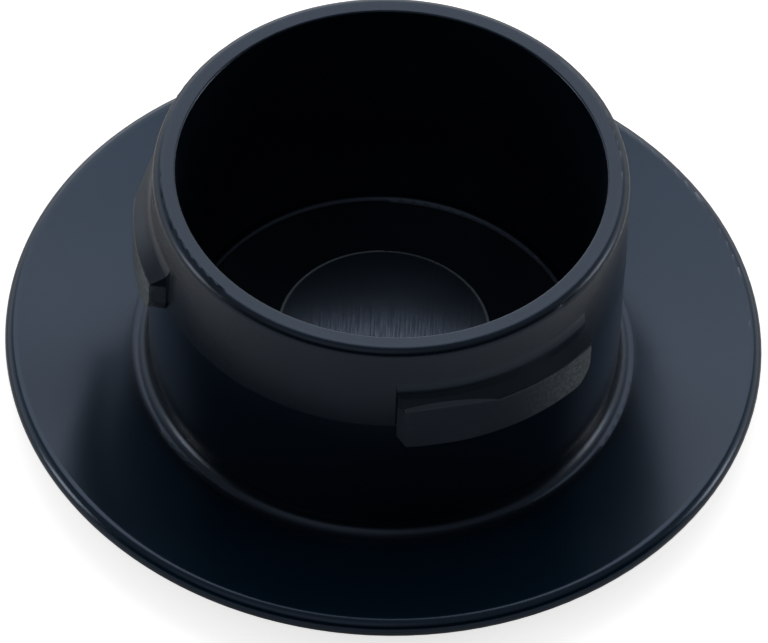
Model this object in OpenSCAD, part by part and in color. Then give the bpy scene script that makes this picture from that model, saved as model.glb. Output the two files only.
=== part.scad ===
// Desk grommet: a flanged liner sleeve with snap lugs and a lift-out centre cap.
// It lies on its visible face, with the face at z = 0 and the sleeve pointing up.
// All lengths are in millimetres and all angles in degrees.

/* [Flange] */
// Outer diameter of the flange
flange_d = 80; // [74:0.5:100]
// Thickness of the flange, and so the diameter of its rounded edge
flange_t = 2.2; // [2:0.1:2.8]
// Height that the flange climbs from its root to its edge
dish_h = 3; // [1:0.1:5]

/* [Sleeve] */
// Outer diameter of the sleeve at its rim
sleeve_d = 49.5; // [49:0.1:56]
// Draft of the outer wall above the mould line, which narrows towards the rim
wall_draft = 0.9; // [0.2:0.1:1.4]
// Wall of the sleeve at its rim
rim_wall = 2.35; // [1.9:0.05:2.8]
// Wall of the sleeve at its floor
floor_wall = 3.5; // [3:0.05:4.1]
// Height of the rim above the top of the snap lugs
rim_above_lugs = 5.6; // [3.5:0.05:12]
// Radius on the outer edge of the rim
rim_edge_round = 1; // [0.4:0.05:1.3]
// Radius on the inner edge of the rim
rim_round = 0.3; // [0.1:0.05:0.5]
// Radius of the fillet between the sleeve and the flange
root_fillet = 1.4; // [0.5:0.05:2]
// Radius of the fillet between the bore and the ledge that seats the cap
floor_fillet = 0.7; // [0.4:0.05:1.2]
// Height of the mould line above the catch faces of the lugs
mould_line_h = 1.5; // [0.5:0.05:4]
// Radial step at the mould line
mould_step = 0.05; // [0.03:0.01:0.15]

/* [Snap lugs] */
// Number of snap lugs round the sleeve
lug_count = 3; // [2:1:5]
// Thickness of the board that is held between the flange's edge and the lugs
board_t = 12.7; // [9:0.1:19]
// Height that the land of a lug stands out beyond the sleeve's rim
lug_reach = 1.95; // [1.4:0.05:2.6]
// Height of the upright land of a lug
lug_land_h = 5.2; // [3:0.1:8]
// Angle round the sleeve that a lug covers
lug_arc = 52.5; // [36:0.1:60]
// Direction of the ramped end of the first lug
lug_start = 33.4; // [0:0.1:120]
// Angle that the ramp at a lug's start covers
lug_ramp_arc = 2.6; // [1.5:0.1:5]
// Angle that the ramp at a lug's end covers
lug_end_arc = 2.5; // [1:0.1:5]
// Radius on the lower corner at a lug's end
lug_corner = 3; // [1:0.1:3.5]
// Depth of the flat at a lug's start below the land, at the catch face
flat_depth = 0.2; // [0.1:0.05:0.5]
// Direction that the flat faces, from the lug's start
flat_turn = 10.6; // [8:0.1:14]
// Lean of the flat
flat_lean = 5.7; // [3:0.1:8]
// Radius between a lug's lead-in and the sleeve's wall
lug_blend = 2.5; // [1:0.1:4]
// Radius between a lug's land and its lead-in
lug_round = 0.6; // [0.2:0.05:1]
// Radius on the lower outer edge of a lug
lug_edge = 0.35; // [0.1:0.05:0.6]

/* [Centre cap] */
// Wall of the sleeve round the cap's seat in the liner's face
seat_wall = 1.7; // [1.4:0.05:2.2]
// Depth of the seat for the cap
seat_depth = 1.5; // [1.2:0.05:1.6]
// Radial clearance between the cap and the liner
cap_clearance = 0.08; // [0.05:0.01:0.2]
// Gap between the cap and the ledge above it
seat_gap = 0.05; // [0.03:0.01:0.15]
// Depth of the cap's face behind the liner's face
cap_recess = 0.15; // [0.1:0.05:0.4]
// Diameter of the boss in the middle of the cap
boss_d = 22.7; // [16:0.1:30]
// Height of the boss above the inner floor
boss_h = 3.05; // [1:0.05:6]
// Radius on the edge of the boss
boss_round = 0.3; // [0.1:0.05:0.6]
// Wall of the boss round the finger dish in the cap's face
boss_wall = 2.2; // [1.6:0.1:2.6]
// Width of the pry notch in the cap's edge
notch_w = 9; // [6:0.5:14]
// Depth of the pry notch from the cap's face
notch_depth = 0.7; // [0.4:0.05:0.8]

/* [Hidden] */
$fn = 160;
flange_r = flange_d / 2;
edge_r = flange_t / 2;
sleeve_r = sleeve_d / 2;
draft = tan(wall_draft);
wall_normal = [cos(wall_draft), sin(wall_draft)];

// The flange's middle line runs from the sleeve's wall to the centre of the rounded edge.
edge_mid = [flange_r - edge_r, dish_h + edge_r];
flange_a = atan2(dish_h, edge_mid[0] - sleeve_r);
flange_normal = [-sin(flange_a), cos(flange_a)];
ring_r = sleeve_r + edge_r * (1 / cos(flange_a) - 1) / tan(flange_a);

// Heights above the liner's face
edge_z = flange_t + dish_h;
catch_z = edge_z + board_t;
land_z = catch_z + lug_land_h;
lug_top_z = land_z + lug_reach;
rim_z = lug_top_z + rim_above_lugs;
mould_z = catch_z + mould_line_h;

// Radii of the sleeve: its wall above and below the mould line, its seat and its bore
upper_r = sleeve_r + (rim_z - mould_z) * draft;
lower_r = upper_r - mould_step;
seat_r = lower_r - seat_wall;
bore_rim_r = sleeve_r - rim_wall;
bore_floor_r = lower_r - floor_wall;

// The root fillet touches the sleeve's wall and the flange's upper surface.
root_mid_r = lower_r + root_fillet;
root_rise = edge_r + (edge_r + root_fillet) / cos(flange_a);
root_mid = [root_mid_r, root_rise + (root_mid_r - sleeve_r) * tan(flange_a)];

// The bore opens towards the rim by its draft.
bore_a = atan2(bore_rim_r - bore_floor_r, rim_z - flange_t);
ledge_r = bore_floor_r + floor_fillet * (tan(bore_a) - 1 / cos(bore_a));
floor_mid = [ledge_r, flange_t + floor_fillet];
rim_mid = [bore_rim_r - rim_round * tan(bore_a) + rim_round / cos(bore_a), rim_z - rim_round];
bore_normal = [-cos(bore_a), sin(bore_a)];

// The rounded outer edge of the rim touches the rim and the wall.
rim_edge_mid = [sleeve_r - rim_edge_round * (1 - sin(wall_draft)) / cos(wall_draft), rim_z - rim_edge_round];

// The lead-in of a lug slopes at 45 degrees and touches the blends above and below it.
land_r = sleeve_r + lug_reach;
lug_root_r = sleeve_r - 0.5;
lead_normal = [cos(45), sin(45)];
blend_lift = (rim_above_lugs - lug_blend * sqrt(2)) * sin(wall_draft);
blend_out = (lug_blend + blend_lift) / (cos(wall_draft) - sin(wall_draft));
blend_mid = [sleeve_r + blend_out, lug_top_z + lug_blend * sqrt(2) - blend_out];
blend_end = blend_mid - lug_blend * wall_normal;
round_mid = [land_r - lug_round, land_z - lug_round * (sqrt(2) - 1)];
lug_edge_mid = [land_r - lug_edge, catch_z + lug_edge];

cap_r = seat_r - cap_clearance;
spigot_r = ledge_r - cap_clearance;
cap_top_z = seat_depth - seat_gap;
boss_r = boss_d / 2;
boss_z = flange_t + boss_h;
// Room left round each cutting shape
over = 1;

module liner_section() {
    difference() {
        union() {
            polygon([
                [seat_r, 0],
                [ring_r, 0],
                edge_mid - edge_r * flange_normal,
                edge_mid,
                edge_mid + edge_r * flange_normal,
                root_mid - root_fillet * flange_normal,
                root_mid,
                [lower_r, root_mid[1]],
                [lower_r, mould_z],
                [upper_r, mould_z],
                rim_edge_mid + rim_edge_round * wall_normal,
                rim_edge_mid,
                [rim_edge_mid[0], rim_z],
                [rim_mid[0], rim_z],
                rim_mid,
                rim_mid + rim_round * bore_normal,
                floor_mid - floor_fillet * bore_normal,
                floor_mid,
                [ledge_r, flange_t],
                [ledge_r, seat_depth],
                [seat_r, seat_depth]
            ]);
            translate(edge_mid) circle(r = edge_r, $fn = 48);
            translate(rim_mid) circle(r = rim_round, $fn = 32);
            translate(rim_edge_mid) circle(r = rim_edge_round, $fn = 64);
        }
        translate(root_mid) circle(r = root_fillet, $fn = 48);
        translate(floor_mid) circle(r = floor_fillet, $fn = 48);
    }
}

module lug_section() {
    difference() {
        union() {
            polygon([
                [lug_root_r, catch_z],
                [lug_edge_mid[0], catch_z],
                lug_edge_mid,
                [land_r, lug_edge_mid[1]],
                [land_r, round_mid[1]],
                round_mid,
                round_mid + lug_round * lead_normal,
                blend_mid - lug_blend * lead_normal,
                blend_mid,
                blend_end,
                [lug_root_r, blend_end[1]]
            ]);
            translate(lug_edge_mid) circle(r = lug_edge, $fn = 32);
            translate(round_mid) circle(r = lug_round, $fn = 48);
        }
        translate(blend_mid) circle(r = lug_blend, $fn = 96);
    }
}

// Cuts the end of a lug: a ramp that climbs from the wall to the land over the given angle,
// with a rounded lower corner that meets the catch face at a clear angle.
module end_cut(arc, corner) {
    corner_z = catch_z + corner * cos(15);
    translate([sleeve_r, 0, 0])
        rotate([90, 0, 90 + atan2(land_r * sin(arc), land_r * cos(arc) - sleeve_r)])
            linear_extrude(height = sleeve_r, center = true)
                difference() {
                    polygon([
                        [-sleeve_r, catch_z - over],
                        [corner, catch_z - over],
                        [corner, corner_z],
                        [0, corner_z],
                        [0, rim_z],
                        [-sleeve_r, rim_z]
                    ]);
                    translate([corner, corner_z]) circle(r = corner, $fn = 64);
                }
}

module lug() {
    difference() {
        rotate_extrude(angle = lug_arc) lug_section();
        end_cut(lug_ramp_arc, lug_edge);
        rotate([0, 0, lug_arc])
            mirror([0, 1, 0])
                end_cut(lug_end_arc, lug_corner);
        rotate([0, 0, flat_turn])
            translate([land_r - flat_depth, 0, catch_z])
                rotate([0, -flat_lean, 0])
                    translate([0, -sleeve_r / 2, -over])
                        cube([sleeve_r, sleeve_r, rim_z - catch_z]);
    }
}

module liner_sleeve() {
    color([0.11, 0.13, 0.15]) {
        rotate_extrude() liner_section();
        for (i = [0 : lug_count - 1])
            rotate([0, 0, lug_start + i * 360 / lug_count]) lug();
    }
}

module cap_section() {
    polygon([
        [0, boss_z - boss_wall],
        [boss_r - boss_wall, boss_z - boss_wall],
        [boss_r - boss_wall, cap_recess],
        [cap_r, cap_recess],
        [cap_r, cap_top_z],
        [spigot_r, cap_top_z],
        [spigot_r, flange_t],
        [boss_r, flange_t],
        [boss_r, boss_z - boss_round],
        [boss_r - boss_round, boss_z - boss_round],
        [boss_r - boss_round, boss_z],
        [0, boss_z]
    ]);
    translate([boss_r - boss_round, boss_z - boss_round]) circle(r = boss_round, $fn = 32);
}

module centre_cap() {
    color([0.09, 0.11, 0.13])
        difference() {
            rotate_extrude() cap_section();
            translate([0, -cap_r, cap_recess - over])
                cylinder(d = notch_w, h = notch_depth + over, $fn = 96);
        }
}

liner_sleeve();
centre_cap();
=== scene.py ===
import math

import bpy
from mathutils import Matrix, Vector

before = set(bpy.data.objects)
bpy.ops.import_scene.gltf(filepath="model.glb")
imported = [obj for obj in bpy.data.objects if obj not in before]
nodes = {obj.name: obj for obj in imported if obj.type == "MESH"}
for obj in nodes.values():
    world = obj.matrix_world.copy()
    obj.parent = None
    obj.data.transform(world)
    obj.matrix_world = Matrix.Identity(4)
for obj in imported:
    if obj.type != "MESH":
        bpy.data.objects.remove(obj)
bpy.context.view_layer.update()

MM = 0.001

# ---------------------------------------------------------------- camera
# The camera looks down along -back; the grommet's flange edge plane is its target.
CAM_ELEVATION = 49.47      # degrees above the table
CAM_ROLL = 2.74            # degrees
CAM_LENS = 427.52          # mm, on a 36 mm sensor
CAM_DISTANCE = 963.5 * MM
CAM_LIFT = 0.98 * MM       # along the picture's up direction
EDGE_Z = 5.2 * MM          # height of the flange's edge plane


def make_camera():
    el, roll = math.radians(CAM_ELEVATION), math.radians(CAM_ROLL)
    back = Vector((0, -math.cos(el), math.sin(el)))
    right = Vector((1, 0, 0))
    up = back.cross(right)
    right_r = math.cos(roll) * right + math.sin(roll) * up
    up_r = -math.sin(roll) * right + math.cos(roll) * up
    data = bpy.data.cameras.new("camera")
    data.sensor_width = 36
    data.lens = CAM_LENS
    data.clip_start, data.clip_end = 0.1, 20
    cam = bpy.data.objects.new("camera", data)
    bpy.context.scene.collection.objects.link(cam)
    place = CAM_DISTANCE * back + CAM_LIFT * up_r + Vector((0, 0, EDGE_Z))
    turn = Matrix((right_r, up_r, back)).transposed().to_4x4()
    cam.matrix_world = Matrix.Translation(place) @ turn
    bpy.context.scene.camera = cam


# ---------------------------------------------------------------- node helpers
class Graph:
    """Short calls for building a node tree."""

    def __init__(self, tree):
        self.tree = tree
        tree.nodes.clear()

    def node(self, kind, inputs=None, **settings):
        n = self.tree.nodes.new(kind)
        for key, value in settings.items():
            setattr(n, key, value)
        for key, value in (inputs or {}).items():
            self.plug(n.inputs[key], value)
        return n

    def plug(self, socket, value):
        if isinstance(value, bpy.types.NodeSocket):
            self.tree.links.new(value, socket)
        else:
            socket.default_value = value

    def math(self, op, a, b=0.0, c=0.0):
        return self.node("ShaderNodeMath", {0: a, 1: b, 2: c}, operation=op).outputs[0]

    def times(self, a, b):
        return self.math("MULTIPLY", a, b)

    def most(self, a, b):
        return self.math("MAXIMUM", a, b)

    def ramp(self, value, lo, hi, to_lo=0.0, to_hi=1.0):
        """Smooth change from to_lo to to_hi as value goes from lo to hi."""
        n = self.node("ShaderNodeMapRange", {"Value": value, "From Min": lo, "From Max": hi,
                      "To Min": to_lo, "To Max": to_hi}, interpolation_type="SMOOTHSTEP")
        return n.outputs["Result"]

    def past(self, value, edge):
        """1 where value is past a soft edge, which is a pair of limits."""
        return self.ramp(value, *edge)

    def before(self, value, edge):
        """1 where value is before a soft edge."""
        return self.ramp(value, *edge, 1.0, 0.0)

    def mix(self, factor, a, b):
        n = self.node("ShaderNodeMix", {"Factor": factor, 6: a, 7: b}, data_type="RGBA")
        return n.outputs[2]

    def noise(self, vector, scale, detail=2.0, rough=0.5):
        n = self.node("ShaderNodeTexNoise", {"Vector": vector, "Scale": scale,
                      "Detail": detail, "Roughness": rough})
        return n.outputs["Fac"]


# ---------------------------------------------------------------- materials
PLASTIC = (0.0010, 0.0038, 0.0075, 1)       # skin of the sleeve
FLANGE_SKIN = (0.0010, 0.0068, 0.0145, 1)
CAP_SKIN = (0.0030, 0.0070, 0.0110, 1)
LAND_WEAR_AND_HIGHLIGHT = (0.100, 0.120, 0.128, 1)          # the lugs' land: real speckled wear, made lighter toward each lug's end as a painted highlight
BOSS_EDGE_HIGHLIGHT = (0.17, 0.20, 0.23, 1)           # painted highlight on the boss's edge
TINT = (0.54, 0.70, 1.0, 1)                 # colour of the skin's reflections
DUST = (0.09, 0.10, 0.11, 1)

# Roughness of the surfaces
LINER_ROUGH, CAP_ROUGH = 0.20, 0.18
BAND_MORE = 0.06           # added above the mould line
SOFT_MORE = 0.08           # added in the bore, at the sleeve's root and on the rim's edge
LEAD_IN_ROUGH, LAND_ROUGH = 0.34, 0.58

# The boss's straight tool marks: limits in their noise, and the bump, roughness and reflection they make
MARKS = (0.35, 0.65)
MARK_BUMP = 1.5
MARK_ROUGH = (0.0, 0.06)
MARK_GLOSS = (0.4, -0.05)

# Reflection level of the skin, and what the lugs' lead-ins lose of it from start to end
GLOSS = 0.5
LEAD_IN_LOSS = (0.05, 0.38)

# Noises, as scale, detail and roughness
SATIN_NOISE, ERODED_NOISE = (9000.0, 3.0, 0.6), (3800.0, 4.0, 0.7)
BLOTCH_NOISE, DRAWN_NOISE = (2400.0, 3.0, 0.65), (5200.0, 3.0, 0.6)
CLOUD_NOISE, SPECK_NOISE, PATCH_NOISE = (90.0, 3.0), (2600.0, 1.0), (120.0, 1.0)

# Depth of the bumps
LINER_BUMP, CAP_BUMP = 0.012 * MM, 0.008 * MM

# Soft edges on the liner, as radii and heights
SLEEVE_OUT = (24.40 * MM, 24.62 * MM)
MOULD_LINE_Z = (19.36 * MM, 19.42 * MM)
BAND_TOP_Z = (29.2 * MM, 29.7 * MM)
RIM_EDGE_R, RIM_EDGE_Z = (23.8 * MM, 24.0 * MM), (29.4 * MM, 29.7 * MM)
LUG_OUT = (25.05 * MM, 25.25 * MM)
LAND_FOOT_Z, LAND_TOP_Z = (17.3 * MM, 17.6 * MM), (22.8 * MM, 23.3 * MM)
ROOT_R, ROOT_Z = (26.6 * MM, 27.0 * MM), (4.0 * MM, 4.5 * MM)
BORE_R = (23.5 * MM, 23.7 * MM)
FLANGE_R = (26.5 * MM, 28.5 * MM)

# Soft edges on the cap's boss
BOSS_R, BOSS_Z = (11.2 * MM, 11.5 * MM), (4.4 * MM, 4.8 * MM)
BOSS_EDGE_R, BOSS_EDGE_Z = (10.9 * MM, 11.15 * MM), (4.9 * MM, 5.05 * MM)

# Directions round the sleeve, in radians: the first lug's start, and soft edges from a lug's start
LUG_START = math.radians(33.4)
LUG_PITCH = 2 * math.pi / 3
# The lands' lighter colour grows over this span toward each lug's end: a painted highlight on top of the real
# wear
PAINTED_HIGHLIGHT_GROWS = (0.45, 0.9)
LEAD_IN_FADES = (0.55, 0.85)
END_FACE = (0.865, 0.885)


class Plastic(Graph):
    """A moulded plastic: satin skin, tool marks, faint cloudiness and a little dust."""

    def __init__(self, name):
        self.mat = bpy.data.materials.new(name)
        self.mat.use_nodes = True
        super().__init__(self.mat.node_tree)
        self.coord = self.node("ShaderNodeTexCoord").outputs["Object"]
        split = self.node("ShaderNodeSeparateXYZ", {0: self.coord})
        self.x, self.y, self.z = split.outputs
        flat = self.node("ShaderNodeCombineXYZ", {0: self.x, 1: self.y})
        self.r = self.node("ShaderNodeVectorMath", {0: flat.outputs[0]}, operation="LENGTH").outputs[1]

    def stretched(self, sx, sy, sz):
        scale = self.node("ShaderNodeVectorMath", {0: self.coord, 1: (sx, sy, sz)}, operation="MULTIPLY")
        return scale.outputs[0]

    def finish(self, rough, height, depth, wear_and_highlight, skin, gloss, wear_and_highlight_colour=LAND_WEAR_AND_HIGHLIGHT):
        """Joins the parts up. The wear-and-highlight mask goes from 0 to 1 and mixes in its colour: worn land
        lightened by a painted highlight on the liner, a painted highlight on the boss's edge on the cap. The
        bump is its height times its depth in metres.
        """
        cloud = self.ramp(self.noise(self.coord, *CLOUD_NOISE), 0.3, 0.7, 0.93, 1.07)
        speck = self.ramp(self.noise(self.coord, *SPECK_NOISE), 0.80, 0.84)
        patch = self.ramp(self.noise(self.coord, *PATCH_NOISE), 0.5, 0.65)
        dust = self.times(self.times(speck, patch), 0.5)
        bump = self.node("ShaderNodeBump", {"Strength": 1.0, "Distance": depth, "Height": height})
        bsdf = self.node("ShaderNodeBsdfPrincipled", {
            "Base Color": self.mix(dust, self.mix(wear_and_highlight, skin, wear_and_highlight_colour), DUST),
            "Roughness": self.times(rough, cloud), "IOR": 1.5, "Specular IOR Level": gloss,
            "Specular Tint": TINT, "Normal": bump.outputs[0]})
        self.node("ShaderNodeOutputMaterial", {0: bsdf.outputs[0]})
        return self.mat


def liner_plastic():
    g = Plastic("liner_plastic")
    band = g.times(g.times(g.past(g.z, MOULD_LINE_Z), g.before(g.z, BAND_TOP_Z)), g.past(g.r, SLEEVE_OUT))
    rim_edge = g.times(g.past(g.z, RIM_EDGE_Z), g.past(g.r, RIM_EDGE_R))
    root = g.times(g.before(g.z, ROOT_Z), g.before(g.r, ROOT_R))
    bore = g.before(g.r, BORE_R)
    on_lug = g.past(g.r, LUG_OUT)
    land = g.times(on_lug, g.times(g.past(g.z, LAND_FOOT_Z), g.before(g.z, LAND_TOP_Z)))
    lead_in = g.times(on_lug, g.past(g.z, LAND_TOP_Z))

    rough = g.math("ADD", LINER_ROUGH, g.times(band, BAND_MORE))
    soft = g.most(bore, g.most(root, rim_edge))
    rough = g.math("ADD", rough, g.times(soft, SOFT_MORE))
    rough = g.most(rough, g.times(lead_in, LEAD_IN_ROUGH))
    rough = g.most(rough, g.times(land, LAND_ROUGH))

    satin = g.noise(g.coord, *SATIN_NOISE)
    eroded = g.noise(g.coord, *ERODED_NOISE)
    height = g.math("ADD", g.times(satin, 0.35), g.times(land, eroded))

    turn = g.math("ARCTAN2", g.y, g.x)
    along = g.math("WRAP", g.math("SUBTRACT", turn, LUG_START), LUG_PITCH, 0.0)
    # The land's colour: blotchy real wear, lightened toward each lug's end as a painted highlight and kept
    # low on the end face
    blotch = g.ramp(g.noise(g.coord, *BLOTCH_NOISE), 0.36, 0.64, 0.35, 1.0)
    end_face = g.ramp(along, *END_FACE, 1.0, 0.25)
    land_wear_and_highlight = g.times(g.ramp(along, *PAINTED_HIGHLIGHT_GROWS, 0.05, 1.0), g.times(blotch, end_face))
    dulled = g.times(lead_in, g.ramp(along, *LEAD_IN_FADES, 0.08, 0.0))
    wear_and_highlight = g.most(g.times(land, land_wear_and_highlight), dulled)

    skin = g.mix(g.past(g.r, FLANGE_R), PLASTIC, FLANGE_SKIN)
    loss = g.ramp(along, *LEAD_IN_FADES, *LEAD_IN_LOSS)
    gloss = g.math("SUBTRACT", GLOSS, g.times(lead_in, loss))
    return g.finish(rough, height, LINER_BUMP, wear_and_highlight, skin, gloss)


def cap_plastic():
    g = Plastic("cap_plastic")
    drawn = g.noise(g.stretched(1.0, 0.04, 0.04), *DRAWN_NOISE)
    satin = g.noise(g.coord, *SATIN_NOISE)
    boss = g.times(g.before(g.r, BOSS_R), g.past(g.z, BOSS_Z))
    # The boss's edge ring gets a lighter colour: a painted highlight
    edge = g.times(g.past(g.r, BOSS_EDGE_R), g.past(g.z, BOSS_EDGE_Z))
    height = g.math("ADD", g.times(satin, 0.25), g.times(boss, g.times(drawn, MARK_BUMP)))
    rough = g.math("ADD", CAP_ROUGH, g.times(boss, g.ramp(drawn, *MARKS, *MARK_ROUGH)))
    gloss = g.math("ADD", GLOSS, g.times(boss, g.ramp(drawn, *MARKS, *MARK_GLOSS)))
    return g.finish(rough, height, CAP_BUMP, edge, CAP_SKIN, gloss, BOSS_EDGE_HIGHLIGHT)


def dress(node, mat):
    mesh = nodes[node].data
    for i in range(len(mesh.materials)):
        mesh.materials[i] = mat
    if not mesh.materials:
        mesh.materials.append(mat)


# ---------------------------------------------------------------- stage and light
FLOOR_HOLE_R = 24.0 * MM   # hidden under the liner's resting ring
FLOOR_R = 4.0              # m, far edge of the floor
FLOOR_MID_R = 0.2          # m, between the hole and the far edge
FLOOR_GREY = (0.8, 0.8, 0.8, 1)
FLOOR_GLOW = 0.74          # white that the camera sees on top of the lit floor
WHITE = (1, 1, 1, 1)
LIGHT_FAR = 1.2            # m from the object to each light
WARM = (1.0, 0.92, 0.82)   # colour of the two side strips


def make_floor():
    steps = 96
    verts, faces = [], []
    for r in (FLOOR_HOLE_R, FLOOR_MID_R, FLOOR_R):
        for i in range(steps):
            a = 2 * math.pi * i / steps
            verts.append((r * math.cos(a), r * math.sin(a), 0))
    for ring in range(2):
        for i in range(steps):
            j = (i + 1) % steps
            a, b = ring * steps, (ring + 1) * steps
            faces.append((a + i, b + i, b + j, a + j))
    mesh = bpy.data.meshes.new("stage_floor")
    mesh.from_pydata(verts, [], faces)
    floor = bpy.data.objects.new("stage_floor", mesh)
    bpy.context.scene.collection.objects.link(floor)
    mat = bpy.data.materials.new("stage_floor")
    mat.use_nodes = True
    g = Graph(mat.node_tree)
    paths = g.node("ShaderNodeLightPath")
    back = g.node("ShaderNodeNewGeometry").outputs["Backfacing"]
    lit = g.node("ShaderNodeBsdfDiffuse", {"Color": FLOOR_GREY})
    glow = g.node("ShaderNodeEmission", {"Color": WHITE, "Strength": FLOOR_GLOW})
    seen = g.node("ShaderNodeAddShader", {0: lit.outputs[0], 1: glow.outputs[0]})
    top = g.node("ShaderNodeMixShader", {0: paths.outputs["Is Camera Ray"], 1: lit.outputs[0],
                 2: seen.outputs[0]})
    clear = g.node("ShaderNodeBsdfTransparent")
    both = g.node("ShaderNodeMixShader", {0: back, 1: top.outputs[0], 2: clear.outputs[0]})
    g.node("ShaderNodeOutputMaterial", {0: both.outputs[0]})
    mesh.materials.append(mat)


def area_light(name, place, size, radiance, colour=(1, 1, 1)):
    data = bpy.data.lights.new(name, "AREA")
    data.shape = "RECTANGLE"
    data.size, data.size_y = size
    data.energy = radiance * math.pi * size[0] * size[1]
    data.color = colour
    lamp = bpy.data.objects.new(name, data)
    bpy.context.scene.collection.objects.link(lamp)
    place = Vector(place)
    lamp.matrix_world = Matrix.Translation(place) @ place.to_track_quat("Z", "Y").to_matrix().to_4x4()
    lamp.visible_camera = False


def polar(azimuth, elevation, distance):
    """Place at an azimuth from +X towards +Y and an elevation, both in degrees."""
    a, e = math.radians(azimuth), math.radians(elevation)
    return (distance * math.cos(e) * math.cos(a), distance * math.cos(e) * math.sin(a),
            distance * math.sin(e))


# Soft light from low behind the object and from above: its strength, and where it fades,
# as limits of the direction's Y and Z
SKY_BACK, SKY_TOP = 1.26, 0.24
BEHIND_Y, LOW_Z, HIGH_Z = (-0.15, 0.35), (0.4, 0.8), (0.5, 0.75)


def make_world():
    world = bpy.data.worlds.new("studio")
    world.use_nodes = True
    bpy.context.scene.world = world
    g = Graph(world.node_tree)
    way = g.node("ShaderNodeSeparateXYZ", {0: g.node("ShaderNodeTexCoord").outputs["Generated"]}).outputs
    low = g.times(g.ramp(way[1], *BEHIND_Y, 0.0, SKY_BACK), g.before(way[2], LOW_Z))
    sky = g.math("ADD", low, g.ramp(way[2], *HIGH_Z, 0.0, SKY_TOP))
    soft = g.node("ShaderNodeBackground", {"Color": WHITE, "Strength": sky})
    white = g.node("ShaderNodeBackground", {"Color": WHITE, "Strength": 1.0})
    paths = g.node("ShaderNodeLightPath")
    both = g.node("ShaderNodeMixShader", {0: paths.outputs["Is Camera Ray"],
                  1: soft.outputs[0], 2: white.outputs[0]})
    g.node("ShaderNodeOutputWorld", {0: both.outputs[0]})


make_camera()
dress("liner_sleeve", liner_plastic())
dress("centre_cap", cap_plastic())
make_floor()
make_world()
area_light("rear_softbox", polar(90, 57, LIGHT_FAR), (1.00, 0.55), 1.74)
area_light("rear_panel", polar(97, 22, LIGHT_FAR), (0.92, 0.97), 0.85)
area_light("left_strip", polar(183, 13, LIGHT_FAR), (0.28, 0.52), 6.0, WARM)
area_light("right_strip", polar(9, 14, LIGHT_FAR), (0.28, 0.46), 5.5, WARM)
area_light("front_fill", polar(245, 57, LIGHT_FAR), (0.90, 0.60), 0.24)

bpy.context.scene.view_settings.view_transform = "Standard"
